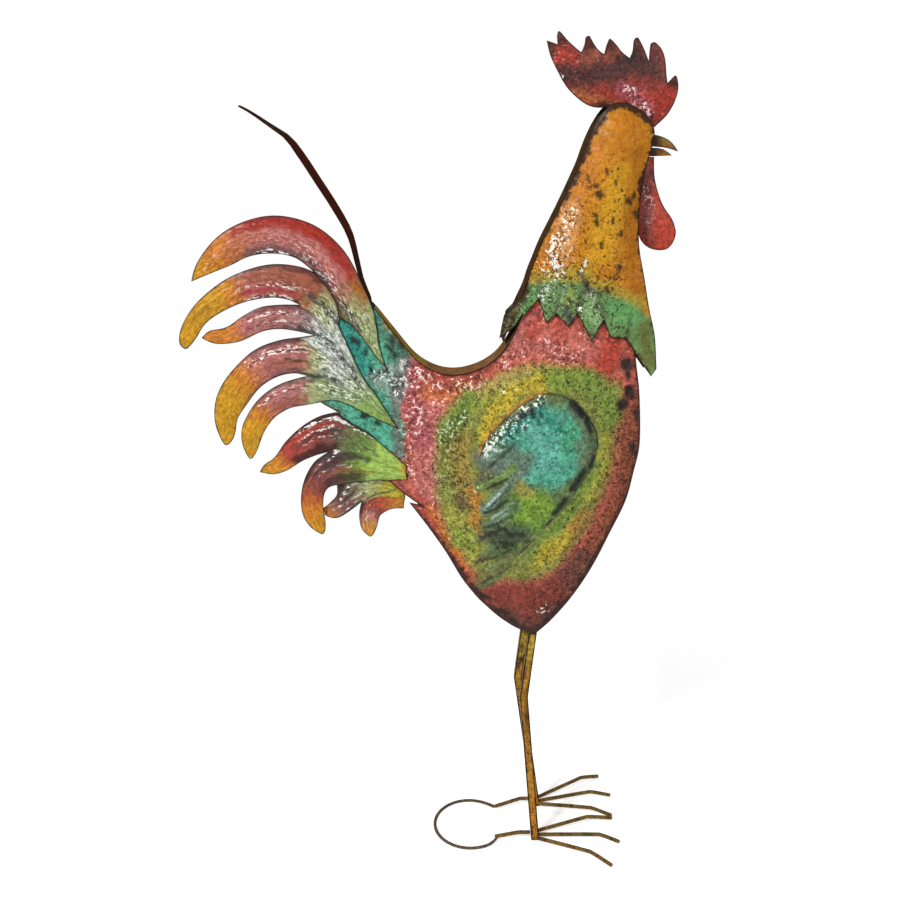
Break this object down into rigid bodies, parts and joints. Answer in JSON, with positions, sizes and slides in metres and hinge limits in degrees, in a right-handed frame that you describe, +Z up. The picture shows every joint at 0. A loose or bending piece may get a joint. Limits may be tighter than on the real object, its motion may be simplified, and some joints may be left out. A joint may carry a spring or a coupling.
{
  "type": "scrap metal rooster sculpture",
  "caption": "Standing rooster of painted sheet steel: pressed body and neck, cut-out comb and tail feathers, bar legs on rod toes, and a wire loop that steadies it.",
  "frame": {"origin": "centre of the part's bounding box in plan, at ground level", "axes": "+X towards the beak, +Z up, and -Y out of the side whose tail feathers lie in front"},
  "size_m": [0.568, 0.2038, 0.982],
  "materials": {
    "body_paint": "glossy hand-brushed paint, coral red at the border, olive and green inside it and teal on the wing, over hammered steel",
    "rim_paint": "worn brown-grey paint on the body's rim strip",
    "neck_paint": "glossy ochre paint with dark speckles, turning green at the collar's teeth",
    "neck_rim_paint": "worn dark brown paint on the neck's rim strip",
    "comb_paint": "dark red paint with a grey-brown band and blackish points",
    "wattle_paint": "glossy red paint with a thin dark edge",
    "beak_paint": "tan paint",
    "feather_paint": "glossy paint blended from yellow and orange tips through red and mauve to green and lime roots, over grooved steel",
    "sickle_paint": "dark red-brown paint with an orange-brown middle",
    "leg_paint": "golden ochre paint with dark brown patches",
    "toe_paint": "worn olive-brown paint",
    "wire_paint": "worn grey-brown paint"
  },
  "bodies": {
    "root": {"body_panel_near": "body_paint", "body_panel_far": "body_paint", "saddle_rim": "rim_paint", "breast_rim": "rim_paint", "neck_panel_near": "neck_paint", "neck_panel_far": "neck_paint", "neck_back_rim": "neck_rim_paint", "neck_front_rim": "neck_rim_paint", "comb": "comb_paint", "wattle": "wattle_paint", "beak_upper": "beak_paint", "beak_lower": "beak_paint", "tail_top_feather": "feather_paint", "tail_upper_fan": "feather_paint", "tail_lower_fan": "feather_paint", "tail_under_fan": "feather_paint", "sickle_feather": "sickle_paint", "near_leg": "leg_paint", "far_leg": "leg_paint", "near_outer_toe": "toe_paint", "near_middle_toe": "toe_paint", "near_inner_toe": "toe_paint", "near_heel_bar": "toe_paint", "far_outer_toe": "toe_paint", "far_middle_toe": "toe_paint", "far_inner_toe": "toe_paint", "far_heel_bar": "toe_paint", "support_loop": "wire_paint"}
  },
  "joints": []
}
